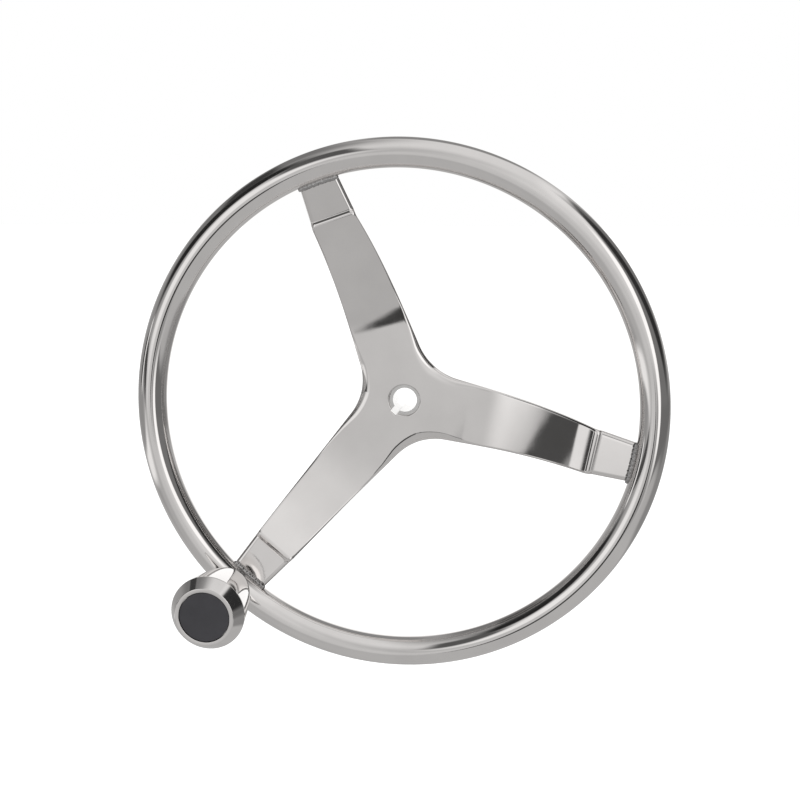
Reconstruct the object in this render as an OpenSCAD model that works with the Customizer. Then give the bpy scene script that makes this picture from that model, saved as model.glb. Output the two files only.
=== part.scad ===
// Boat steering wheel: three pressed spokes, a round tube rim and a free-turning control knob.
//
// The origin is the centre of the hub's rear face, where the taper bore is widest. +Y runs along
// the helm shaft towards the dash, the driver is on the -Y side, and +Z is up. Sub-parts are
// drawn upright, with heights measured from the hub's rear face towards the driver.

/* [Rim] */
// Overall diameter of the wheel
wheel_d = 343; // [340:1:350]
// Outside diameter of the rim tube
tube_d = 19; // [18:0.5:20]
// Wall of the rim tube
tube_wall = 1.5; // [1:0.1:2]
// Angle round the ring of the flush weld that closes it
seam_deg = 0.7; // [0.4:0.1:1.4]

/* [Hub] */
// Outside diameter of the hub boss
boss_d = 38; // [34:1:42]
// Length of the hub boss
boss_len = 32; // [28:1:36]
// Chamfer round the boss's rear edge
boss_chamfer = 1.5; // [0.5:0.5:2]
// Bore diameter at the rear face, for a 3/4 inch shaft
taper_large_d = 19.05; // [18.5:0.05:19.6]
// Length in which the bore narrows by 1 mm of diameter
taper_ratio = 12; // [10:1:14]
// Width of the keyway
key_w = 4.8; // [4:0.1:5.5]
// Distance from the shaft's centre line to the keyway's floor
key_r = 11.9; // [11:0.1:12.5]
// Clearance hole in the plate, in front of the boss
nut_hole_d = 21; // [20:0.5:22]

/* [Spokes] */
// Thickness of the pressed plate
sheet_t = 2.5; // [2:0.5:3]
// Depth of the hub's front face behind the centre of the rim tube
dish = 39; // [37:0.5:40]
// Radius of the long bend that lifts the spokes towards the driver
bend_r = 120; // [119:0.5:122]
// Slope of a spoke where the bend ends, in degrees
spoke_slope = 43; // [42:0.5:44]
// Half width of a spoke where it leaves the hub
half_w_hub = 20.8; // [20:0.2:21.6]
// Half width of a spoke where it narrows faster
half_w_mid = 16.4; // [15.8:0.2:17]
// Half width of a spoke at the rim
half_w_rim = 12.6; // [12:0.2:13.4]
// Distance from the shaft to the throat between two spokes
throat_r = 30.5; // [30:0.5:32]
// Thickness of the turned-down edge
flange_t = 2.5; // [2:0.5:3]
// Depth of the turned-down edge at the hub
flange_hub = 8; // [7:0.5:9]
// Depth of the turned-down edge at the rim
flange_rim = 6; // [5:0.5:7]
// Turn of the whole wheel on its shaft, from one spoke straight up
wheel_turn = 18.9; // [0:0.1:30]

/* [Knob] */
// Distance from the shaft to the knob's axis
knob_r = 159.5; // [159:0.5:161]
// Angle between the knob's axis and the middle of its spoke
knob_lead = 1.8; // [1:0.2:2.4]
// Height of the knob's face above the centre of the rim tube
knob_face = 72; // [71:0.5:76]
// Widest diameter of the knob
knob_d = 46.6; // [46:0.2:48]
// Diameter of the bell at its neck
neck_d = 14.4; // [14:0.2:15]
// Diameter of the black insert
insert_d = 31.5; // [30:0.5:32]
// Diameter of the spindle that the knob turns on
spindle_d = 8; // [7.5:0.5:8]
// Radial clearance between the spindle and the bushes
running_gap = 0.05; // [0.02:0.01:0.1]

/* [Hidden] */
$fn = 96;

spoke_angles = [90, 330, 210];
tube_r = tube_d / 2;
rim_r = wheel_d / 2 - tube_r;
hub_face = boss_len + sheet_t;
rim_h = hub_face + dish;

// Pressed plate, as distance out along a spoke and height
bend_start = 43;
roll_r = 4;
roll_out = 12;
plate_end = rim_r - tube_r + 1;
pad_end_h = rim_h - 0.5;
bend_steps = 10;
roll_steps = 5;
deep = 30;
arm_reach = 30;
slab_overlap = 4;

// Outline of the spider: two straight tapers, and a round throat that meets the first of them
taper_from = 40;
taper_mid = 108;
side_taper = atan((half_w_hub - half_w_mid) / (taper_mid - taper_from));
half_w_shaft = half_w_hub + taper_from * tan(side_taper);
throat_c = (throat_r - half_w_shaft * cos(side_taper)) / (1 - sin(60 + side_taper));
fillet_r = throat_c - throat_r;
fillet_steps = 10;

// Welds
bead_r = 2.4;
bead_at = [rim_r - tube_r - 0.9, rim_h + 0.4];
bead_half_w = 13.8;
saddle_t = 2.2;
saddle_r = 7.6;
hub_weld_leg = 4;
weld_gap = 0.02;

// Knob, as heights above the centre of the rim tube
foot_r = 5.4;
foot_base = 0.5;
foot_cone = 12;
foot_top = 14.5;
washer_t = 0.5;
bell_base = 15.1;
bell_top = knob_face - 9;
bell_wall = 1.2;
bell_steps = 14;
bell_power = 2.6;
lower_bush_top = 29;
bush_r = neck_d / 2 - bell_wall;
bell_r = knob_d / 2 - 0.2;
upper_bush_r = 7.5;
upper_bush_base = bell_top - 17;
upper_bush_top = bell_top - 4.8;
spindle_top = bell_top - 4;
core_relief_r = 5;
pocket_r = 11;
screw_r = 3;
screw_len = 18;
head_r = 5.25;
head_h = 3.3;
socket_af = 4;
socket_depth = 2;
keeper_r = 9.5;
keeper_t = 1.6;
lip_w = 2;
lip_h = 0.4;
bezel_t = 1.2;
ledge_w = 2;
insert_t = 2.3;
insert_gap = 0.2;
shoulder_steps = 10;

function turn(p, a) = [p.x * cos(a) - p.y * sin(a), p.x * sin(a) + p.y * cos(a)];
function reversed(v) = [for (i = [len(v) - 1:-1:0]) v[i]];
function lowered(v, d) = [for (p = v) [p.x, p.y - d]];
function mix(a, b, t) = a + (b - a) * t;

// The driver's side of the plate, from the shaft out to the rim
function bend_line() = [
    for (i = [0:bend_steps]) let (a = spoke_slope * i / bend_steps)
        [bend_start + bend_r * sin(a), hub_face + bend_r * (1 - cos(a))]
];
function roll_line() = let (
    from = bend_line()[bend_steps],
    centre = [from.x + roll_r * sin(spoke_slope), from.y - roll_r * cos(spoke_slope)]
) [
    for (i = [1:roll_steps]) let (a = mix(-spoke_slope, roll_out, i / roll_steps))
        centre + roll_r * [sin(a), cos(a)]
];
function face_line() = concat(
    [[-slab_overlap, hub_face]], bend_line(), roll_line(), [[plate_end, pad_end_h]]
);
function flange_line() = [
    for (p = face_line()) [p.x, p.y - mix(flange_hub, flange_rim, p.x / plate_end)]
];

// The spider's outline, moved inwards by inset
function spoke_side(inset) = [
    [taper_mid, half_w_mid - inset], [plate_end - inset, half_w_rim - inset]
];
function throat(inset) = let (half_turn = 30 - side_taper, r = fillet_r + inset) [
    for (i = [0:fillet_steps]) let (a = mix(half_turn, -half_turn, i / fillet_steps))
        [throat_c - r * cos(a), -r * sin(a)]
];
function outline(inset) = [
    for (a = [90, 210, 330]) each concat(
        [for (p = spoke_side(inset)) turn([p.x, -p.y], a)],
        [for (p = reversed(spoke_side(inset))) turn(p, a)],
        [for (p = throat(inset)) turn(p, a + 60)]
    )
];

// The bell's outside and inside, as radius and height from the neck to the widest edge
function bell_line(neck, edge, base) = [
    for (i = [0:bell_steps]) let (t = i / bell_steps)
        [mix(neck, edge, t), mix(base, bell_top, pow(t, bell_power))]
];
function bell_outside() = bell_line(neck_d / 2, bell_r, bell_base);
function bell_inside() = bell_line(bush_r, bell_r - bell_wall, bell_base + bell_wall);

// The bezel's rounded shoulder, from the widest edge up to the lip
lip_r = insert_d / 2 + insert_gap + lip_w;
function shoulder(inset) = [
    for (i = [0:shoulder_steps]) let (a = 90 * i / shoulder_steps)
        [lip_r + (knob_d / 2 - lip_r - inset) * cos(a),
         bell_top + (knob_face - lip_h - bell_top - inset) * sin(a)]
];

module at_shaft() {
    rotate([90, 0, 0]) rotate([0, 0, wheel_turn]) children();
}

module at_knob() {
    at_shaft() rotate([0, 0, spoke_angles[2] - knob_lead]) translate([knob_r, 0, rim_h]) children();
}

module tube_disc(r) {
    translate([rim_r, rim_h]) circle(r = r);
}

module ring(inner, outer, base, top) {
    rotate_extrude() translate([inner, base]) square([outer - inner, top - base]);
}

// What lies between two lines, drawn along a spoke at the angle a and run across it
module arm_slab(a, upper, lower) {
    rotate([0, 0, a]) rotate([90, 0, 0]) linear_extrude(2 * arm_reach, center = true)
        polygon(concat(upper, reversed(lower)));
}

module under_face(a) {
    arm_slab(a, face_line(), [[0, 0], [plate_end, 0]]);
}

module rim_tube() {
    color("gainsboro") at_shaft() rotate([0, 0, spoke_angles[0] + seam_deg / 2])
        rotate_extrude(angle = 360 - seam_deg) difference() {
            tube_disc(tube_r);
            tube_disc(tube_r - tube_wall);
        }
}

module rim_seam_weld() {
    color("silver") at_shaft() rotate([0, 0, spoke_angles[0] - seam_deg / 2])
        rotate_extrude(angle = seam_deg) difference() {
            tube_disc(tube_r);
            tube_disc(tube_r - tube_wall);
        }
}

module plate_shell() {
    difference() {
        intersection() {
            linear_extrude(rim_h) polygon(outline(0));
            union() for (a = spoke_angles) arm_slab(a, face_line(), flange_line());
        }
        intersection() {
            linear_extrude(rim_h) polygon(outline(flange_t));
            union() for (a = spoke_angles)
                arm_slab(a, lowered(face_line(), sheet_t), lowered(face_line(), deep));
        }
    }
}

module spoke_spider() {
    color("lightgray") at_shaft() difference() {
        plate_shell();
        cylinder(h = rim_h, d = nut_hole_d);
        keyway();
        rotate_extrude() tube_disc(tube_r + weld_gap);
    }
}

module keyway() {
    rotate([0, 0, spoke_angles[2]]) translate([0, -key_w / 2, -1])
        cube([key_r, key_w, hub_face + 2]);
}

module hub_boss() {
    taper_small_d = taper_large_d - boss_len / taper_ratio;
    color("darkgray") at_shaft() difference() {
        union() {
            cylinder(h = boss_chamfer, d1 = boss_d - 2 * boss_chamfer, d2 = boss_d);
            translate([0, 0, boss_chamfer]) cylinder(h = boss_len - boss_chamfer, d = boss_d);
        }
        cylinder(h = boss_len, d1 = taper_large_d, d2 = taper_small_d);
        keyway();
    }
}

module hub_weld() {
    r = boss_d / 2;
    color("silver") at_shaft() rotate_extrude() polygon([
        [r, boss_len], [r, boss_len - hub_weld_leg], [r + hub_weld_leg, boss_len]
    ]);
}

module rim_weld(a) {
    color("silver") at_shaft() difference() {
        intersection() {
            rotate_extrude() difference() {
                translate(bead_at) circle(r = bead_r);
                tube_disc(tube_r);
            }
            rotate([0, 0, a]) translate([bead_at.x - 2 * bead_r, -bead_half_w, 0])
                cube([4 * bead_r, 2 * bead_half_w, 2 * rim_h]);
        }
        under_face(a);
    }
}

module rim_weld_top() {
    rim_weld(spoke_angles[0]);
}

module rim_weld_right() {
    rim_weld(spoke_angles[1]);
}

module rim_weld_left() {
    rim_weld(spoke_angles[2]);
}

module foot() {
    translate([0, 0, foot_base]) cylinder(h = foot_cone - foot_base, r = foot_r);
    translate([0, 0, foot_cone])
        cylinder(h = foot_top - foot_cone, r1 = foot_r, r2 = neck_d / 2 - washer_t);
}

module knob_stud() {
    color("gainsboro") difference() {
        at_knob() difference() {
            union() {
                foot();
                translate([0, 0, foot_top]) cylinder(h = spindle_top - foot_top, d = spindle_d);
            }
            translate([0, 0, spindle_top - screw_len]) cylinder(h = screw_len + 1, r = screw_r);
        }
        at_shaft() rotate_extrude() tube_disc(tube_r);
    }
}

module stud_weld() {
    color("silver") difference() {
        intersection() {
            at_shaft() rotate_extrude() difference() {
                tube_disc(tube_r + saddle_t);
                tube_disc(tube_r + weld_gap);
                translate(bead_at) circle(r = bead_r);
            }
            at_knob() cylinder(h = tube_d, r = saddle_r);
        }
        at_knob() cylinder(h = foot_base, r = foot_r);
        at_knob() foot();
        at_shaft() under_face(spoke_angles[2]);
    }
}

module thrust_washer() {
    color("ivory") at_knob()
        ring(spindle_d / 2 + running_gap, neck_d / 2 - washer_t, foot_top, foot_top + washer_t);
}

module wave_washer() {
    r = spindle_d / 2 + 2 * running_gap;
    top = spindle_top - 0.02;
    base = upper_bush_top + 0.02;
    t = 0.4;
    color("slategray") at_knob() rotate_extrude() polygon([
        [r, top - t], [upper_bush_r - 0.1, base], [upper_bush_r - 0.1, base + t], [r, top]
    ]);
}

module retaining_washer() {
    color("darkgray") at_knob() ring(screw_r, keeper_r, spindle_top, spindle_top + keeper_t);
}

module retaining_screw() {
    color("dimgray") at_knob() difference() {
        union() {
            translate([0, 0, spindle_top - screw_len + 1])
                cylinder(h = screw_len - 1 + keeper_t, r = screw_r);
            translate([0, 0, spindle_top + keeper_t]) cylinder(h = head_h, r = head_r);
        }
        translate([0, 0, spindle_top + keeper_t + head_h - socket_depth])
            cylinder(h = socket_depth + 1, r = socket_af / 2 / cos(30), $fn = 6);
    }
}

module lower_bush() {
    color("ivory") at_knob() ring(spindle_d / 2 + running_gap, bush_r, bell_base, lower_bush_top);
}

module upper_bush() {
    color("ivory") at_knob()
        ring(spindle_d / 2 + running_gap, upper_bush_r, upper_bush_base, upper_bush_top);
}

module knob_core() {
    color("darkslategray") at_knob() rotate_extrude() difference() {
        polygon(concat(bell_inside(), [[0, bell_top], [0, bell_base + bell_wall]]));
        square([bush_r, lower_bush_top]);
        square([core_relief_r, bell_top]);
        translate([0, upper_bush_base]) square([upper_bush_r, bell_top]);
        translate([0, upper_bush_top]) square([pocket_r, bell_top]);
    }
}

module knob_bell() {
    color("gainsboro") at_knob() rotate_extrude()
        polygon(concat(bell_outside(), reversed(bell_inside()), [[bush_r, bell_base]]));
}

module knob_bezel() {
    seat_r = insert_d / 2 + insert_gap;
    seat_z = knob_face - lip_h - insert_t;
    color("whitesmoke") at_knob() rotate_extrude() polygon(concat(
        shoulder(0), [[lip_r, knob_face], [seat_r, knob_face], [seat_r, seat_z]],
        [[seat_r - ledge_w, seat_z], [seat_r - ledge_w, seat_z - bezel_t]],
        [[lip_r, seat_z - bezel_t]],
        [[knob_d / 2 - bezel_t, bell_top + lip_w], [knob_d / 2 - bezel_t, bell_top]]
    ));
}

module knob_insert() {
    top = knob_face - lip_h;
    color("black") at_knob() translate([0, 0, top - insert_t]) cylinder(h = insert_t, d = insert_d);
}

rim_tube();
rim_seam_weld();
spoke_spider();
hub_boss();
hub_weld();
rim_weld_top();
rim_weld_right();
rim_weld_left();
knob_stud();
stud_weld();
thrust_washer();
wave_washer();
retaining_washer();
retaining_screw();
lower_bush();
upper_bush();
knob_core();
knob_bell();
knob_bezel();
knob_insert();
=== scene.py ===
"""Looks of the boat steering wheel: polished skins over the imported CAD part, a pale studio, a camera."""

import math

import bmesh
import bpy
import numpy as np
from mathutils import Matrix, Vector


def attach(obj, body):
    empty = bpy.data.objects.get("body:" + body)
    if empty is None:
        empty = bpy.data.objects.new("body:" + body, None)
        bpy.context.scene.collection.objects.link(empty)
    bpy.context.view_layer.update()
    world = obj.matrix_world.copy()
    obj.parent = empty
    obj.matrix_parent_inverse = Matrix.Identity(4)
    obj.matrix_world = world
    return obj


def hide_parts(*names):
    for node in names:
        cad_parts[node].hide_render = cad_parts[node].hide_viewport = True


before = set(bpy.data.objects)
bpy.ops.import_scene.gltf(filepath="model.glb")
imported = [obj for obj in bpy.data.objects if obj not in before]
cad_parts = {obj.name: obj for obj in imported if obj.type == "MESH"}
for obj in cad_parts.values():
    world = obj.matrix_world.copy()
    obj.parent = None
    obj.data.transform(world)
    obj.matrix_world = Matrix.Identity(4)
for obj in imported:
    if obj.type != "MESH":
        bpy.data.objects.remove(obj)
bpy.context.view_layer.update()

# ---------------------------------------------------------------- sizes, in millimetres
# Heights are measured from the hub's rear face towards the driver, and an arm's places from the
# shaft. The knob's heights are measured from the middle of the rim's tube.
MM = 0.001
# Turn of the whole wheel on its shaft, and where each arm points before it
TURN = math.radians(18.9)
ARMS = {"top": 90.0, "right": -30.0, "left": 210.0}

# Rim: radius to the middle of its tube, the tube's own radius, and the tube's height
RIM_R, TUBE_R, RIM_H = 162.0, 9.49, 73.5
# The seam's length round the rim, in degrees, and steps of the mesh along the rim and round it
SEAM_DEG = 0.7
RIM_STEPS, SEAM_STEPS, TUBE_SIDES = 720, 4, 72

# Hub: the spider's flat, its plate, the boss, the taper bore and its keyway
HUB_FACE, SHEET = 34.5, 2.5
BOSS_R, BOSS_LEN, BOSS_CHAMFER = 19.0, 32.0, 1.5
BORE_REAR, BORE_FRONT = 9.525, 8.192
BORE_EDGE = 0.6
HOLE_R, LIP = 10.5, 0.7
KEY_HALF, KEY_R = 2.4, 11.9
HUB_WELD_LEG, HUB_WELD_FILL, HUB_WELD_SWELL, HUB_WELD_RIPPLES = 4.0, 0.95, 0.5, 60

# Arms: half widths and where they apply, with the softness of the change at the middle one
HALF_HUB, HALF_MID, HALF_RIM = 20.8, 16.4, 12.6
HUB_AT, MID_AT, ARM_END = 40.0, 108.0, 153.4
TAPER_SOFT = 5.0
THROAT_R = 30.5
# Arms: the long bend, the roll that ends it, the crease behind the roll, and the pad
BEND_AT, BEND_R, SLOPE = 43.0, 120.0, math.radians(43.0)
ROLL_R, ROLL_OUT = 4.0, math.radians(24.0)
ROLL_RUN = 0.7
CREASE_AT = 128.4
PAD_END_H = RIM_H - 0.5
VALLEY_R = 0.8
PAST_END = 20.0
# Arms: the turned-down edges, and the rounded shoulders' widths, places and depth
FLANGE_T, FLANGE_HUB, FLANGE_RIM = 2.5, 8.0, 6.0
SHOULDER_THROAT, SHOULDER_FILLET, SHOULDER_HUB = 7.0, 5.0, 2.8
SHOULDER_ARM, SHOULDER_PAD = 1.5, 3.2
SHOULDER_HUB_AT, SHOULDER_ARM_AT = 44.0, 58.0
SHOULDER_ARM_TO, SHOULDER_PAD_AT = CREASE_AT - 5.0, CREASE_AT + 1.0
SHOULDER_DEPTH = 0.62
OUTLINE_END = 175.0

# Weld beads at the rim: radius, half length, and the middle's distance from the shaft and height
BEAD_R, BEAD_HALF = 2.0, 13.6
BEAD_AT = (RIM_R - TUBE_R - 0.6, RIM_H + 0.4)
# Their ripples' pitch and depth, how far the line of the bead wanders, and how blunt its ends are
BEAD_PITCH, BEAD_MEAN, BEAD_RIPPLE = 2.3, 0.88, 0.11
BEAD_WANDER, BEAD_WANDER_PITCH = 0.15, 1.1
BEAD_BLUNT = 9
BEAD_STEPS, BEAD_SIDES = 120, 28

# Knob: its axis, foot, the weld round the foot, spindle, bell, bezel and insert
KNOB_R, KNOB_DEG = 159.5, 208.2
FOOT_R, FOOT_CONE, FOOT_TOP, FOOT_FLARE = 5.4, 12.0, 14.5, 6.7
FOOT_BASE, AXIS_R = 0.5, 0.4
SADDLE_R, SADDLE_RISE, SADDLE_HOLLOW, SADDLE_SINK = 7.6, 2.2, 1.7, 0.8
SPINDLE_R, SPINDLE_TOP = 4.0, 59.0
SCREW_HOLE_R, SCREW_HOLE_DEEP = 3.0, 18.0
BELL_BASE, BELL_TOP, BELL_WALL, BELL_POWER = 15.1, 63.0, 1.2, 2.6
NECK_R, BELL_R, KNOB_WIDE_R = 7.2, 23.1, 23.3
LIP_R, LIP_TOP, SEAT_R, SEAT_Z = 18.4, 71.99, 15.95, 69.3
BEZEL_EDGE_Z = 64.2
BEZEL_WALL, BEZEL_SOFT, SEAT_LEDGE, SEAT_SHEET = 1.2, 0.7, 2.0, 1.2
INSERT_R, INSERT_TOP, INSERT_SOFT = 15.75, 71.6, 0.5
# Sides of the round meshes: the foot, the bell and bezel, and the insert
FOOT_SIDES, BELL_SIDES, INSERT_SIDES = 96, 192, 128


# ---------------------------------------------------------------- mesh helpers
def spin(points, degrees):
    """Points turned about the shaft, or about whatever they are measured from."""
    a = math.radians(degrees)
    out = np.array(points, float)
    out[..., 0] = points[..., 0] * math.cos(a) - points[..., 1] * math.sin(a)
    out[..., 1] = points[..., 0] * math.sin(a) + points[..., 1] * math.cos(a)
    return out


def to_frame(points):
    """From the wheel's own x, y and height above the hub's rear face to the row frame in metres."""
    p = spin(points, math.degrees(TURN))
    return np.stack([p[..., 0], -p[..., 2], p[..., 1]], -1) * MM


def at_knob(points):
    """From the knob's own x, y and height above the rim's plane to the wheel's."""
    return spin(points + np.array([KNOB_R, 0, RIM_H]), KNOB_DEG)


def grid_faces(rows, cols, wrap_rows=False, wrap_cols=False, start=0):
    """Quads over a grid of rows by cols vertices."""
    i = np.arange(rows if wrap_rows else rows - 1)
    j = np.arange(cols if wrap_cols else cols - 1)
    i, j = np.meshgrid(i, j, indexing="ij")
    i2, j2 = (i + 1) % rows, (j + 1) % cols
    quads = np.stack([i * cols + j, i2 * cols + j, i2 * cols + j2, i * cols + j2], -1)
    return [tuple(quad) for quad in (quads.reshape(-1, 4) + start).tolist()]


def piece(name, points, faces, material, body, replaced, sharp=32.0):
    """A closed mesh piece, smooth except where its faces meet at more than sharp degrees."""
    mesh = bpy.data.meshes.new(name)
    points = to_frame(np.asarray(points, float)).reshape(-1, 3)
    mesh.from_pydata(points.tolist(), [], faces)
    tidy_mesh(mesh)
    mesh.polygons.foreach_set("use_smooth", [True] * len(mesh.polygons))
    mesh.set_sharp_from_angle(angle=math.radians(sharp))
    obj = bpy.data.objects.new(name, mesh)
    bpy.context.scene.collection.objects.link(obj)
    obj.data.materials.append(material)
    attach(obj, body)
    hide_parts(*replaced)


def tidy_mesh(mesh):
    """Joins doubled vertices, drops what has no area, and turns every face outwards."""
    bm = bmesh.new()
    bm.from_mesh(mesh)
    bmesh.ops.remove_doubles(bm, verts=bm.verts, dist=2e-6)
    bmesh.ops.dissolve_degenerate(bm, dist=1e-6, edges=bm.edges)
    loose = [edge for edge in bm.edges if not edge.link_faces]
    bmesh.ops.delete(bm, geom=loose, context="EDGES")
    bmesh.ops.recalc_face_normals(bm, faces=bm.faces)
    bm.to_mesh(mesh)
    bm.free()


def lathe(profile, segments):
    """A closed profile of (radius, height) turned about its axis."""
    profile = np.asarray(profile, float)
    a = np.linspace(0, 2 * math.pi, segments, endpoint=False)
    r, h = profile[:, 0][:, None], profile[:, 1][:, None]
    points = np.stack([r * np.cos(a), r * np.sin(a), h + 0 * a], -1)
    return points.reshape(-1, 3), grid_faces(len(profile), segments, True, True)


def arc(centre, radius, start, end, steps):
    """Points on an arc, angles in degrees."""
    a = np.radians(np.linspace(start, end, steps + 1))
    return [(centre[0] + radius * math.cos(t), centre[1] + radius * math.sin(t)) for t in a]


def smoothstep(t):
    """From 0 to 1 with no slope at either end."""
    t = np.clip(t, 0, 1)
    return t * t * (3 - 2 * t)


def ripple(u, seed):
    """A quiet sum of waves that never repeats along u, from about -1 to 1."""
    return (np.sin(u + seed) + 0.6 * np.sin(1.73 * u + 2.1 * seed)
            + 0.4 * np.sin(3.11 * u + 4.7 * seed)) / 2.0


# ---------------------------------------------------------------- materials
def new_material(name):
    """A material with its tree, its shader, and coordinates fixed to the piece."""
    material = bpy.data.materials.new(name)
    material.use_nodes = True
    tree = material.node_tree
    shader = tree.nodes["Principled BSDF"]
    coords = tree.nodes.new("ShaderNodeTexCoord")
    return material, tree, shader, coords.outputs["Object"]


def noise(tree, coords, scale, detail, stretch=None):
    """Noise over the piece, stretched along an axis where stretch says so."""
    node = tree.nodes.new("ShaderNodeTexNoise")
    node.inputs["Scale"].default_value = scale
    node.inputs["Detail"].default_value = detail
    if stretch:
        mapping = tree.nodes.new("ShaderNodeMapping")
        mapping.inputs["Scale"].default_value = stretch
        tree.links.new(coords, mapping.inputs["Vector"])
        coords = mapping.outputs["Vector"]
    tree.links.new(coords, node.inputs["Vector"])
    return node.outputs["Fac"]


def remap(tree, value, low, high, from_low=0.3, from_high=0.7):
    """value moved from one range to another, by default from where most noise lies."""
    node = tree.nodes.new("ShaderNodeMapRange")
    node.inputs["From Min"].default_value = from_low
    node.inputs["From Max"].default_value = from_high
    node.inputs["To Min"].default_value = low
    node.inputs["To Max"].default_value = high
    tree.links.new(value, node.inputs["Value"])
    return node.outputs["Result"]


def tint(tree, value, low, high):
    """A colour between two."""
    node = tree.nodes.new("ShaderNodeMix")
    node.data_type = "RGBA"
    node.inputs["A"].default_value = (*low, 1)
    node.inputs["B"].default_value = (*high, 1)
    tree.links.new(value, node.inputs["Factor"])
    return node.outputs["Result"]


def bump(tree, height, distance, under=None):
    """Relief up to a distance in metres, on top of the relief under it."""
    node = tree.nodes.new("ShaderNodeBump")
    node.inputs["Distance"].default_value = distance
    node.inputs["Strength"].default_value = 1.0
    tree.links.new(height, node.inputs["Height"])
    if under is not None:
        tree.links.new(under, node.inputs["Normal"])
    return node.outputs["Normal"]


def metal(name, low, high, rough, wave, wave_depth, lines, line_depth, stretch=(1, 1, 12)):
    """Steel whose colour and roughness drift, with slow waviness and fine lines in its surface."""
    material, tree, shader, coords = new_material(name)
    drift = noise(tree, coords, 38.0, 4.0)
    tree.links.new(tint(tree, remap(tree, drift, 0, 1), low, high), shader.inputs["Base Color"])
    haze = noise(tree, coords, 90.0, 5.0)
    tree.links.new(remap(tree, haze, *rough), shader.inputs["Roughness"])
    shader.inputs["Metallic"].default_value = 1.0
    slow = bump(tree, noise(tree, coords, wave, 2.0), wave_depth)
    fine = bump(tree, noise(tree, coords, lines, 3.0, stretch), line_depth, slow)
    tree.links.new(fine, shader.inputs["Normal"])
    return material


def plastic(name, low, high, rough, grain, depth):
    """Plastic whose colour and roughness drift, with a fine grain."""
    material, tree, shader, coords = new_material(name)
    drift = noise(tree, coords, 60.0, 3.0)
    tree.links.new(tint(tree, remap(tree, drift, 0, 1), low, high), shader.inputs["Base Color"])
    tree.links.new(remap(tree, noise(tree, coords, 140.0, 4.0), *rough), shader.inputs["Roughness"])
    tree.links.new(bump(tree, noise(tree, coords, grain, 2.0), depth), shader.inputs["Normal"])
    return material


# The polished steel's darker and lighter tints, and its least and greatest roughness
STEEL = (0.79, 0.768, 0.756), (0.84, 0.818, 0.805), (0.03, 0.07)
POLISHED = metal("polished_steel", *STEEL, 30.0, 0.00004, 900.0, 0.0000015)
RIM_STEEL = metal("polished_rim_steel", *STEEL, 30.0, 0.00002, 900.0, 0.0000004)
WELD = metal("brushed_weld_steel", (0.24, 0.235, 0.235), (0.58, 0.57, 0.565), (0.10, 0.24),
             210.0, 0.0003, 1500.0, 0.00002)
TURNED = metal("turned_steel", (0.72, 0.71, 0.70), (0.80, 0.79, 0.78), (0.10, 0.20),
               80.0, 0.00003, 2500.0, 0.00001, (1, 14, 1))
SPRING = metal("spring_steel", (0.50, 0.50, 0.51), (0.60, 0.60, 0.61), (0.22, 0.36),
               120.0, 0.00003, 2500.0, 0.00001)
WHITE_NYLON = plastic("white_nylon", (0.80, 0.79, 0.74), (0.88, 0.87, 0.82), (0.35, 0.5),
                      1500.0, 0.00002)
BLACK_NYLON = plastic("black_nylon", (0.035, 0.035, 0.04), (0.05, 0.05, 0.055), (0.4, 0.6),
                      1500.0, 0.00002)
SATIN_BLACK = plastic("satin_black", (0.028, 0.027, 0.032), (0.036, 0.035, 0.041), (0.42, 0.55),
                      1800.0, 0.00003)


# ---------------------------------------------------------------- rim
def ring_sweep(start, end, steps, sides):
    """A length of the rim's tube, between two angles in degrees, with closed ends."""
    a = np.radians(np.linspace(start, end, steps + 1))[:, None]
    b = np.linspace(0, 2 * math.pi, sides, endpoint=False)[None, :]
    r = RIM_R + TUBE_R * np.cos(b)
    points = np.stack([r * np.cos(a), r * np.sin(a), RIM_H + TUBE_R * np.sin(b) + 0 * a], -1)
    centres = [[RIM_R * math.cos(t), RIM_R * math.sin(t), RIM_H] for t in (a[0, 0], a[-1, 0])]
    points = np.vstack([points.reshape(-1, 3), centres])
    faces = grid_faces(steps + 1, sides, False, True)
    for k, first in enumerate((0, steps * sides)):
        middle = (steps + 1) * sides + k
        faces += [(first + j, first + (j + 1) % sides, middle) for j in range(sides)]
    return points, faces


def build_rim():
    """The ring, in one length, and the flush weld that closes it."""
    half = SEAM_DEG / 2
    at = ARMS["top"]
    points, faces = ring_sweep(at + half, at + 360 - half, RIM_STEPS, TUBE_SIDES)
    piece("rim", points, faces, RIM_STEEL, "wheel", ["rim_tube"])
    points, faces = ring_sweep(at - half, at + half, SEAM_STEPS, TUBE_SIDES)
    piece("rim_seam", points, faces, RIM_STEEL, "wheel", ["rim_seam_weld"])


# ---------------------------------------------------------------- spider
SIDE_TAPER = math.atan((HALF_HUB - HALF_MID) / (MID_AT - HUB_AT))
HALF_SHAFT = HALF_HUB + HUB_AT * math.tan(SIDE_TAPER)
THIRD = math.radians(60)
THROAT_C = (THROAT_R - HALF_SHAFT * math.cos(SIDE_TAPER)) / (1 - math.sin(THIRD + SIDE_TAPER))
FILLET_R = THROAT_C - THROAT_R
FILLET_END = THROAT_C * math.cos(THIRD) - FILLET_R * math.sin(SIDE_TAPER)
FAN_X = THROAT_R * math.cos(THIRD)


def half_width(x):
    """Half the spider's width across an arm, at a distance x out along it."""
    x = np.asarray(x, float)
    reach = np.clip(FILLET_R ** 2 - (THROAT_C * math.cos(THIRD) - x) ** 2, 0, None)
    fillet = THROAT_C * math.sin(THIRD) - np.sqrt(reach)
    first = HALF_SHAFT - x * math.tan(SIDE_TAPER)
    slope = (HALF_MID - HALF_RIM) / (ARM_END - MID_AT) - math.tan(SIDE_TAPER)
    past = TAPER_SOFT * np.logaddexp(0, (x - MID_AT) / TAPER_SOFT)
    return np.where(x < FILLET_END, fillet, first - slope * past)


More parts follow.
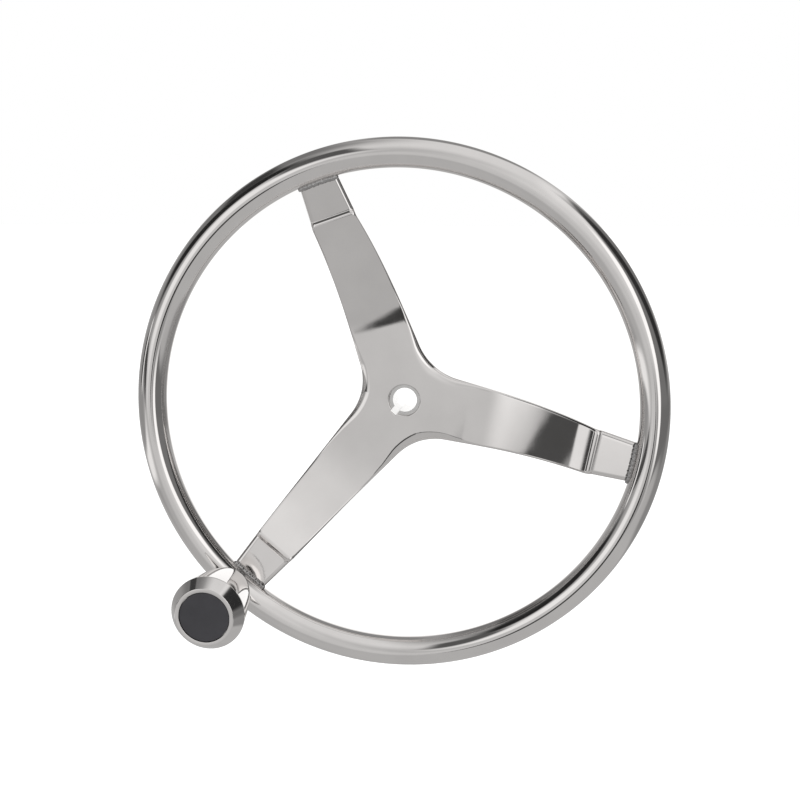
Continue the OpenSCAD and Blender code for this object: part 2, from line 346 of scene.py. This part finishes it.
def inset_rows(x, inset):
    """Rows across an arm moved inwards: where they lie along it, and half the width there."""
    share = smoothstep((x - FAN_X) / (FILLET_END - FAN_X))
    moved = x - inset * math.cos(THIRD) * (1 - share)
    reach = (FILLET_R + inset) ** 2 - (THROAT_C * math.cos(THIRD) - moved) ** 2
    fillet = THROAT_C * math.sin(THIRD) - np.sqrt(np.clip(reach, 0, None))
    return moved, np.where(x < FILLET_END, fillet, half_width(x) - inset)


def face_profile():
    """The driver's side of an arm along its middle, as dense points of distance and height."""
    line = [(0, HUB_FACE)]
    bend = (BEND_AT, HUB_FACE + BEND_R)
    line += [(bend[0] + BEND_R * math.sin(t), bend[1] - BEND_R * math.cos(t))
             for t in np.linspace(0, SLOPE, 80)]
    x, h = line[-1]
    roll = (x + ROLL_R * math.sin(SLOPE), h - ROLL_R * math.cos(SLOPE))
    line += [(roll[0] + ROLL_R * math.sin(t), roll[1] + ROLL_R * math.cos(t))
             for t in np.linspace(-SLOPE, ROLL_OUT, 30)[1:]]
    corner = (line[-1][0] + ROLL_RUN * math.cos(ROLL_OUT), line[-1][1] - ROLL_RUN * math.sin(ROLL_OUT))
    end = (RIM_R - TUBE_R + 1, PAD_END_H)
    rise = math.atan2(end[1] - corner[1], end[0] - corner[0])
    back = VALLEY_R * math.tan((ROLL_OUT + rise) / 2)
    line.append((corner[0] - back * math.cos(ROLL_OUT), corner[1] + back * math.sin(ROLL_OUT)))
    base = (line[-1][0] + VALLEY_R * math.sin(ROLL_OUT), line[-1][1] + VALLEY_R * math.cos(ROLL_OUT))
    line += [(base[0] + VALLEY_R * math.sin(t), base[1] - VALLEY_R * math.cos(t))
             for t in np.linspace(-ROLL_OUT, rise, 10)[1:]]
    line += [(end[0] + PAST_END, end[1] + PAST_END * math.tan(rise))]
    return np.array(sorted(line))


FACE_LINE = face_profile()


def face_height(x):
    """Height of the driver's side of an arm, at a distance x out along it."""
    return np.interp(x, FACE_LINE[:, 0], FACE_LINE[:, 1])


def side_line():
    """One side of an arm's outline from the throat outwards, with the shoulder's width there."""
    x = np.concatenate([np.linspace(FAN_X, FILLET_END, 60),
                        np.linspace(FILLET_END, OUTLINE_END, 160)[1:]])
    y = half_width(x)
    width = np.interp(x, [FAN_X, FILLET_END, SHOULDER_HUB_AT, SHOULDER_ARM_AT,
                          SHOULDER_ARM_TO, SHOULDER_PAD_AT],
                      [SHOULDER_THROAT, SHOULDER_FILLET, SHOULDER_HUB, SHOULDER_ARM,
                       SHOULDER_ARM, SHOULDER_PAD])
    return x, y, width


SIDE_X, SIDE_Y, SIDE_W = side_line()


def shoulder_drop(x, y):
    """How far the rounded side of an arm lies below its face."""
    p = np.stack([x.ravel(), np.abs(y).ravel()], -1)
    a = np.stack([SIDE_X, SIDE_Y], -1)
    edge = a[1:] - a[:-1]
    nearest = np.full(len(p), np.inf)
    width = np.zeros(len(p))
    for i in range(len(edge)):
        t = np.clip(((p - a[i]) @ edge[i]) / (edge[i] @ edge[i]), 0, 1)
        gap = np.hypot(*(p - a[i] - t[:, None] * edge[i]).T)
        closer = gap < nearest
        nearest[closer] = gap[closer]
        width[closer] = (SIDE_W[i] + t * (SIDE_W[i + 1] - SIDE_W[i]))[closer]
    share = np.clip(nearest / width, 0, 1)
    drop = SHOULDER_DEPTH * width * (1 - np.sqrt(np.clip(1 - (1 - share) ** 2, 0, 1)))
    return drop.reshape(x.shape)


def hole_radius(angle, radius, keyed):
    """The hub hole's radius at an angle from the arm's middle, with the keyway in the left arm."""
    if not keyed:
        return radius + 0 * angle
    c, s = np.cos(angle), np.maximum(np.abs(np.sin(angle)), 1e-9)
    slot = np.where(c > 0, np.minimum(KEY_R / np.maximum(c, 1e-9), KEY_HALF / s), 0)
    return np.maximum(radius, slot)


def across_steps():
    """Shares of the half width, close together at the sides, with the keyway's corners on them."""
    s = np.sin(np.linspace(-1, 1, 91) * math.pi / 2)
    corners = [KEY_HALF / KEY_R * FAN_X, math.tan(math.asin(KEY_HALF / HOLE_R)) * FAN_X]
    half = float(half_width(FAN_X))
    for corner in corners:
        for sign in (-1, 1):
            s[np.argmin(np.abs(s - sign * corner / half))] = sign * corner / half
    return s


def along_steps():
    """Distances out along an arm, closer together at the roll and the crease."""
    roll_at = BEND_AT + BEND_R * math.sin(SLOPE)
    pad_at = CREASE_AT + 1.5
    parts = [np.linspace(FAN_X, FILLET_END, 30), np.linspace(FILLET_END, roll_at, 110),
             np.linspace(roll_at, pad_at, 44), np.linspace(pad_at, ARM_END, 30)]
    return np.unique(np.round(np.concatenate(parts), 4))


def sheet_points(inset, drop, keyed, front):
    """One face of a third of the spider: a fan round the hole, then rows across the arm."""
    s = across_steps()
    x_rows = along_steps()
    throat = float(half_width(FAN_X))
    edge_x, edge_y = np.full_like(s, FAN_X), s * throat
    angle = np.arctan2(edge_y, edge_x)
    outer = np.hypot(edge_x, edge_y)
    inner = hole_radius(angle, HOLE_R, keyed)
    lip = LIP * (1 - np.cos(np.linspace(0, math.pi / 2, 7)))
    spread = np.sin(np.linspace(0, math.pi / 2, 44))[1:-1]
    fan = np.array([inner + e for e in lip]
                   + [inner + LIP + (outer - inner - LIP) * q for q in spread])
    pull = 1 - inset / THROAT_R * np.concatenate([np.zeros(len(lip)), spread])[:, None]
    row_x, row_half = inset_rows(x_rows, inset)
    x = np.vstack([fan * np.cos(angle) * pull, np.outer(row_x, np.ones_like(s))])
    y = np.vstack([fan * np.sin(angle) * pull, np.outer(row_half, s)])
    height = face_height(x) - drop
    if front:
        height -= shoulder_drop(x, y)
        for k, e in enumerate(lip):
            height[k] -= LIP - math.sqrt(max(LIP ** 2 - (LIP - e) ** 2, 0))
    return np.stack([x, y, height], -1)


def build_spider():
    """A closed shell: front, turned-down walls with rounded lower edges, and the back."""
    points, faces, start = [], [], 0
    for name, angle in ARMS.items():
        keyed = name == "left"
        front = sheet_points(0, 0, keyed, True)
        back = sheet_points(FLANGE_T, SHEET, keyed, False)
        rows, cols = front.shape[:2]
        # The walls start where the fan round the hole ends
        fan = rows - len(along_steps())
        depth = FLANGE_HUB + (FLANGE_RIM - FLANGE_HUB) * front[:, :, 0] / ARM_END
        foot_h = face_height(front[:, :, 0]) - depth
        round_r = FLANGE_T / 2
        # Per side: the outer wall downwards, the rounded lower edge, the inner wall upwards
        grids = {}
        for side in (0, cols - 1):
            outer, inner = front[fan:, side], back[fan:, side]
            foot = foot_h[fan:, side]
            strip = [outer]
            for q in (0.33, 0.66, 1.0):
                strip.append(np.column_stack([outer[:, :2],
                                              outer[:, 2] + (foot + round_r - outer[:, 2]) * q]))
            for t in np.radians(np.linspace(0, 180, 9))[1:-1]:
                mid = (outer[:, :2] + inner[:, :2]) / 2
                swing = (outer[:, :2] - inner[:, :2]) / 2
                strip.append(np.column_stack([mid + swing * math.cos(t),
                                              foot + round_r - round_r * math.sin(t)]))
            for q in (0.0, 0.5, 1.0):
                strip.append(np.column_stack([inner[:, :2],
                                              foot + round_r + (inner[:, 2] - foot - round_r) * q]))
            grids[side] = np.array(strip)
        block = [front, back, *grids.values()]
        for grid in grids.values():
            section = grid[:, -1]
            half = len(section) // 2
            block.append(np.array([section[:half], section[half:][::-1]]))
        # The arm's end and the hole's edge
        block.append(np.array([front[-1], back[-1]]))
        block.append(np.array([front[0], back[0]]))
        for part in block:
            r, c = part.shape[:2]
            points.append(spin(part.reshape(-1, 3), angle))
            faces += grid_faces(r, c, start=start)
            start += r * c
    piece("spider", np.vstack(points), faces, POLISHED, "wheel", ["spoke_spider"],
          sharp=40.0)


# ---------------------------------------------------------------- hub
def build_boss():
    """The boss with its taper bore and keyway, and rounded edges at the rear."""
    a = np.radians(np.arange(0, 360, 0.5))
    top, bottom = BOSS_LEN, 0.0

    def keyed(r):
        return hole_radius(np.arctan2(np.sin(a), np.cos(a)), r, True)

    def flat(r):
        return r + 0 * a

    loops = [(flat(BOSS_R), top), (flat(BOSS_R), BOSS_CHAMFER), (flat(BOSS_R - 0.2), BOSS_CHAMFER - 0.3),
             (flat(BOSS_R - BOSS_CHAMFER + 0.1), 0.12), (flat(BOSS_R - BOSS_CHAMFER - 0.3), bottom),
             (keyed(BORE_REAR + BORE_EDGE) + 0.02, bottom), (keyed(BORE_REAR), BORE_EDGE)]
    for q in np.linspace(0, 1, 9)[1:]:
        loops.append((keyed(BORE_REAR + (BORE_FRONT - BORE_REAR) * q), BORE_EDGE + (top - BORE_EDGE) * q))
    points = np.array([np.stack([r * np.cos(a), r * np.sin(a), h + 0 * a], -1) for r, h in loops])
    points = spin(points, ARMS["left"])
    piece("hub_boss_skin", points.reshape(-1, 3), grid_faces(len(loops), len(a), True, True),
          TURNED, "wheel", ["hub_boss"], sharp=28.0)


def build_hub_weld():
    """The rippled fillet weld behind the hub."""
    turns = np.radians(np.arange(0, 360, 1.0))
    across = np.linspace(0, 1, 9)
    rows = []
    for q in across:
        t = q * math.pi / 2
        r = BOSS_R + HUB_WELD_LEG * (1 - math.cos(t)) * HUB_WELD_FILL
        h = BOSS_LEN - HUB_WELD_LEG * (1 - math.sin(t)) * HUB_WELD_FILL
        swell = 0.7 + 0.3 * ripple(HUB_WELD_RIPPLES * turns, 1.0)
        swell = HUB_WELD_SWELL * math.sin(q * math.pi) * swell
        rows.append(np.stack([(r + swell) * np.cos(turns), (r + swell) * np.sin(turns),
                              h - swell], -1))
    rows.append(np.stack([(BOSS_R - 0.5) * np.cos(turns), (BOSS_R - 0.5) * np.sin(turns),
                          BOSS_LEN + 0 * turns], -1))
    points = np.array(rows)
    piece("hub_weld_bead", points.reshape(-1, 3), grid_faces(len(rows), len(turns), True, True),
          WELD, "wheel", ["hub_weld"], sharp=60.0)


# ---------------------------------------------------------------- welds at the rim
def build_bead(name, angle, node, seed):
    """A hand-laid weld bead along the joint of one arm and the rim."""
    steps, sides = BEAD_STEPS, BEAD_SIDES
    y = np.linspace(-BEAD_HALF, BEAD_HALF, steps)
    ends = np.sqrt(np.clip(1 - np.abs(y / BEAD_HALF) ** BEAD_BLUNT, 0, 1))
    size = BEAD_R * ends * (BEAD_MEAN + BEAD_RIPPLE * ripple(y * BEAD_PITCH, seed))
    a = np.arcsin(y / BEAD_AT[0])
    b = np.linspace(0, 2 * math.pi, sides, endpoint=False)
    centre_r = BEAD_AT[0] + BEAD_WANDER * ripple(y * BEAD_WANDER_PITCH, seed + 2)
    r = centre_r[:, None] + size[:, None] * np.cos(b)
    h = BEAD_AT[1] + size[:, None] * np.sin(b)
    points = np.stack([r * np.cos(a)[:, None], r * np.sin(a)[:, None], h], -1)
    points = spin(points.reshape(-1, 3), angle)
    faces = grid_faces(steps, sides, False, True)
    faces += [tuple(range(sides)), tuple(range((steps - 1) * sides, steps * sides))]
    piece(name, points, faces, WELD, "wheel", [node], sharp=70.0)


# ---------------------------------------------------------------- knob
def build_stud():
    """The foot that carries the knob, and its weld to the rim."""
    profile = [(AXIS_R, FOOT_BASE), (FOOT_R - 0.4, FOOT_BASE), (FOOT_R, FOOT_BASE + 0.4),
               (FOOT_R, FOOT_CONE - 1.2)]
    profile += [(FOOT_R + 0.05, FOOT_CONE), (FOOT_R + 0.4, FOOT_CONE + 1.0),
                (FOOT_FLARE - 0.35, FOOT_TOP - 0.8), (FOOT_FLARE, FOOT_TOP - 0.4),
                (FOOT_FLARE - 0.1, FOOT_TOP - 0.1), (FOOT_FLARE - 0.4, FOOT_TOP)]
    profile += [(SPINDLE_R, FOOT_TOP), (SPINDLE_R, SPINDLE_TOP - 0.4),
                (SPINDLE_R - 0.4, SPINDLE_TOP), (SCREW_HOLE_R, SPINDLE_TOP),
                (SCREW_HOLE_R, SPINDLE_TOP - SCREW_HOLE_DEEP),
                (AXIS_R, SPINDLE_TOP - SCREW_HOLE_DEEP)]
    points, faces = lathe(profile, FOOT_SIDES)
    piece("knob_foot", at_knob(points), faces, POLISHED, "wheel", ["knob_stud"])

    turns = np.radians(np.arange(0, 360, 3.0))
    rows = []
    for q in np.linspace(0, 1, 9):
        rho = FOOT_R - 0.1 + (SADDLE_R - FOOT_R) * q
        rise = SADDLE_RISE * (1 - q) ** SADDLE_HOLLOW * (0.85 + 0.15 * ripple(9 * turns, 3.0))
        rows.append((rho, rise))
    rows.append((SADDLE_R - 0.4, -SADDLE_SINK))
    rows.append((FOOT_R - 0.2, -SADDLE_SINK))
    points = []
    for rho, rise in rows:
        local = np.stack([rho * np.cos(turns), rho * np.sin(turns), 0 * turns], -1)
        across = np.hypot(KNOB_R + local[:, 0], local[:, 1]) - RIM_R
        local[:, 2] = np.sqrt(np.clip(TUBE_R ** 2 - across ** 2, 1.5, None)) + rise
        points.append(at_knob(local))
    piece("knob_foot_weld", np.array(points).reshape(-1, 3),
          grid_faces(len(rows), len(turns), True, True), WELD, "wheel", ["stud_weld"],
          sharp=70.0)


def bell_curve(neck, edge, base, steps):
    """The bell's outline from its neck to its widest edge, as radius and height."""
    t = np.linspace(0, 1, steps)
    return list(zip(neck + (edge - neck) * t, base + (BELL_TOP - base) * t ** BELL_POWER))


def build_knob():
    """The bell, the bevelled face ring and the black insert."""
    outer = bell_curve(NECK_R, BELL_R, BELL_BASE, 90)
    inner = bell_curve(NECK_R - BELL_WALL, BELL_R - BELL_WALL, BELL_BASE + BELL_WALL, 30)
    profile = outer + inner[::-1] + [(NECK_R - BELL_WALL, BELL_BASE)]
    points, faces = lathe(profile, BELL_SIDES)
    piece("bell", at_knob(points), faces, POLISHED, "knob", ["knob_bell"])

    wide, soft = KNOB_WIDE_R, BEZEL_SOFT
    profile = [(wide - 0.25, BELL_TOP), (wide, BELL_TOP + 0.25)]
    bevel = math.atan2(LIP_TOP - BEZEL_EDGE_Z, wide - LIP_R)
    facing = math.degrees(math.pi / 2 - bevel)
    profile += arc((wide - soft, BEZEL_EDGE_Z - 0.3), soft, 0, facing, 6)
    profile += arc((LIP_R - 0.3, LIP_TOP - soft), soft, facing, 90, 8)
    profile += arc((SEAT_R + 0.3, LIP_TOP - 0.3), 0.3, 90, 180, 5)
    profile += [(SEAT_R, SEAT_Z), (SEAT_R - SEAT_LEDGE, SEAT_Z),
                (SEAT_R - SEAT_LEDGE, SEAT_Z - SEAT_SHEET), (LIP_R - 0.4, SEAT_Z - SEAT_SHEET),
                (wide - BEZEL_WALL, BELL_TOP + 2), (wide - BEZEL_WALL, BELL_TOP)]
    points, faces = lathe(profile, BELL_SIDES)
    piece("bezel", at_knob(points), faces, POLISHED, "knob", ["knob_bezel"])

    edge = arc((INSERT_R - INSERT_SOFT, INSERT_TOP - INSERT_SOFT), INSERT_SOFT, 0, 90, 6)
    rings = [(INSERT_R * q, INSERT_TOP) for q in (0.8, 0.55, 0.3, 0.1, 0.0)]
    base = [(INSERT_R * q, SEAT_Z) for q in (0.0, 0.5, 0.98)]
    points, faces = lathe(edge + rings + base, INSERT_SIDES)
    piece("insert", at_knob(points), faces, SATIN_BLACK, "knob", ["knob_insert"])


# ---------------------------------------------------------------- CAD pieces that stay
CAD_MATERIALS = {
    "thrust_washer": WHITE_NYLON, "lower_bush": WHITE_NYLON, "upper_bush": WHITE_NYLON,
    "wave_washer": SPRING, "retaining_washer": SPRING, "retaining_screw": SPRING,
    "knob_core": BLACK_NYLON,
}


def dress_cad():
    """Gives the CAD pieces that are kept their materials."""
    for node, material in CAD_MATERIALS.items():
        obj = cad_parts[node]
        obj.data.materials.clear()
        obj.data.materials.append(material)


# ---------------------------------------------------------------- studio
CAMERA_AT = Vector((0.093071, -0.752654, 0.132902))
CAMERA_FORWARD = Vector((-0.130409, 0.974956, -0.180153))
CAMERA_LENS = 49.07
SENSOR_WIDTH, CLIP_START = 36.0, 0.01
FLOOR_Z, FLOOR_HALF = -0.60, 30.0
FLOOR_COLOUR, FLOOR_GLOW = (0.92, 0.92, 0.92, 1), 0.35

# Soft panels, walls and gaps of the studio, in degrees as seen from the wheel along its own axis:
# (name, right, up, half length, half width, turn of the long side, edge softness, brightness).
# A later one covers those before it.
PANELS = [
    ("ceiling", 15, 78, 62, 50, 0, 0.5, 0.78),
    ("upper_left_wall", -50, 84, 34, 30, -20, 0.6, 0.36),
    ("left_wall", -88, 8, 50, 34, 80, 0.4, 0.32),
    ("front", -8, -10, 20, 10, 20, 0.6, 0.62),
    ("right_front", 24, 19, 30, 16, 48, 0.45, 0.75),
    ("right_streak", 44, 56, 36, 9, 62, 0.5, 0.86),
    ("right_floor", 100, -48, 46, 34, 60, 0.35, 0.28),
    ("low_disc", 20, -72, 54, 46, -45, 0.12, 0.50),
    ("right_wall", 88, 30, 62, 40, 70, 0.10, 0.19),
    ("right_bar", 83, 35, 40, 19, -54, 0.30, 0.03),
    ("upper_left_back", -85, 85, 38, 45, 135, 0.4, 0.20),
    ("upper_back", 10, 128, 60, 20, 0, 0.3, 0.28),
    ("dark_band", 68, -17, 58, 7, -3, 0.25, 0.17),
    ("right_strip", 33, 6, 26, 9, 68, 0.25, 1.20),
    ("low_gap", -0.2, -16.2, 5.2, 5.2, 42, 0.12, 0.05),
    ("upper_left_gap", -57, 38, 30, 17, 35, 0.3, 0.02),
    ("upper_left_shade", -23, 36, 20, 8, 105, 0.3, 0.10),
    ("upper_left_far_gap", -72, 72, 24, 13, -45, 0.3, 0.05),
    ("left_front", -28, 8, 16, 14, 70, 0.35, 0.96),
    ("left_gap", -61, -2.3, 24, 3.4, -20, 0.12, 0.075),
    ("left_edge", -75, 0, 4.5, 10, 0, 0.15, 0.90),
    ("left_far_gap", -85, -1, 6.5, 8, 0, 0.2, 0.05),
    ("lower_left_streak", -70, -28, 30, 5, 24, 0.5, 0.95),
]
# Brightness of the room between the panels, and of what lies behind the wheel, with the degrees
# off its axis between which that takes over
ROOM = 0.47
BACK, BACK_FROM, BACK_TO = 1.15, 146.0, 162.0
STUDIO_COLOUR = (1.0, 0.998, 0.995, 1)
# How square the panels' corners are: 2 gives ellipses
PANEL_SQUARE = 4.0


def math_node(tree, operation, *values):
    """One step of arithmetic on numbers and other nodes' results."""
    node = tree.nodes.new("ShaderNodeMath")
    node.operation = operation
    for k, v in enumerate(values):
        if isinstance(v, (int, float)):
            node.inputs[k].default_value = v
        else:
            tree.links.new(v, node.inputs[k])
    return node.outputs[0]


def build_world():
    """The studio, which only reflections see: all other rays see plain white."""
    world = bpy.data.worlds.new("studio")
    bpy.context.scene.world = world
    world.use_nodes = True
    tree = world.node_tree
    tree.nodes.clear()

    def m(operation, *values):
        return math_node(tree, operation, *values)

    coords = tree.nodes.new("ShaderNodeTexCoord")
    split = tree.nodes.new("ShaderNodeSeparateXYZ")
    tree.links.new(coords.outputs["Generated"], split.inputs[0])
    x, y, z = split.outputs
    towards = m("MULTIPLY", y, -1.0)
    off = m("MULTIPLY", m("ARCCOSINE", towards), 180 / math.pi)
    flat = m("MAXIMUM", m("SQRT", m("ADD", m("MULTIPLY", x, x), m("MULTIPLY", z, z))), 1e-4)
    u = m("MULTIPLY", m("DIVIDE", x, flat), off)
    v = m("MULTIPLY", m("DIVIDE", z, flat), off)
    level = ROOM
    for _, cu, cv, length, width, turn, soft, bright in PANELS:
        c, s = math.cos(math.radians(turn)), math.sin(math.radians(turn))
        du, dv = m("SUBTRACT", u, cu), m("SUBTRACT", v, cv)
        along = m("DIVIDE", m("ADD", m("MULTIPLY", du, c), m("MULTIPLY", dv, s)), length)
        across = m("DIVIDE", m("SUBTRACT", m("MULTIPLY", dv, c), m("MULTIPLY", du, s)), width)
        along = m("POWER", m("ABSOLUTE", along), PANEL_SQUARE)
        across = m("POWER", m("ABSOLUTE", across), PANEL_SQUARE)
        reach = m("POWER", m("ADD", along, across), 1 / PANEL_SQUARE)
        ramp = tree.nodes.new("ShaderNodeMapRange")
        ramp.interpolation_type = "SMOOTHSTEP"
        ramp.inputs["From Min"].default_value = 1 + soft
        ramp.inputs["From Max"].default_value = 1 - soft
        tree.links.new(reach, ramp.inputs["Value"])
        share = ramp.outputs["Result"]
        level = m("ADD", m("MULTIPLY", share, m("SUBTRACT", bright, level)), level)
    behind = remap(tree, off, 0, 1, BACK_FROM, BACK_TO)
    level = m("ADD", m("MULTIPLY", behind, m("SUBTRACT", BACK, level)), level)
    rays = tree.nodes.new("ShaderNodeLightPath")
    studio = tree.nodes.new("ShaderNodeBackground")
    tree.links.new(level, studio.inputs["Strength"])
    studio.inputs["Color"].default_value = STUDIO_COLOUR
    plain = tree.nodes.new("ShaderNodeBackground")
    plain.inputs["Color"].default_value = (1, 1, 1, 1)
    plain.inputs["Strength"].default_value = 1.0
    mix = tree.nodes.new("ShaderNodeMixShader")
    tree.links.new(rays.outputs["Is Glossy Ray"], mix.inputs["Fac"])
    tree.links.new(plain.outputs[0], mix.inputs[1])
    tree.links.new(studio.outputs[0], mix.inputs[2])
    out = tree.nodes.new("ShaderNodeOutputWorld")
    tree.links.new(mix.outputs[0], out.inputs["Surface"])


def build_floor():
    """A pale floor, left out of reflections."""
    material, _, shader, _ = new_material("pale_floor")
    shader.inputs["Base Color"].default_value = FLOOR_COLOUR
    shader.inputs["Roughness"].default_value = 0.9
    shader.inputs["Emission Color"].default_value = (1, 1, 1, 1)
    shader.inputs["Emission Strength"].default_value = FLOOR_GLOW
    mesh = bpy.data.meshes.new("floor")
    size = FLOOR_HALF
    corners = [(-size, -size, FLOOR_Z), (size, -size, FLOOR_Z), (size, size, FLOOR_Z),
               (-size, size, FLOOR_Z)]
    mesh.from_pydata(corners, [], [(0, 1, 2, 3)])
    floor = bpy.data.objects.new("floor", mesh)
    floor.data.materials.append(material)
    bpy.context.scene.collection.objects.link(floor)
    floor.visible_glossy = False


def build_camera():
    """The camera, where the wheel was photographed from."""
    data = bpy.data.cameras.new("camera")
    data.lens = CAMERA_LENS
    data.sensor_width = SENSOR_WIDTH
    data.clip_start = CLIP_START
    camera = bpy.data.objects.new("camera", data)
    camera.location = CAMERA_AT
    camera.rotation_euler = CAMERA_FORWARD.to_track_quat("-Z", "Y").to_euler()
    bpy.context.scene.collection.objects.link(camera)
    bpy.context.scene.camera = camera
    bpy.context.scene.view_settings.view_transform = "Standard"


build_rim()
build_spider()
build_boss()
build_hub_weld()
build_bead("weld_top", ARMS["top"], "rim_weld_top", 0.3)
build_bead("weld_right", ARMS["right"], "rim_weld_right", 1.9)
build_bead("weld_left", ARMS["left"], "rim_weld_left", 3.6)
build_stud()
build_knob()
dress_cad()
build_world()
build_floor()
build_camera()
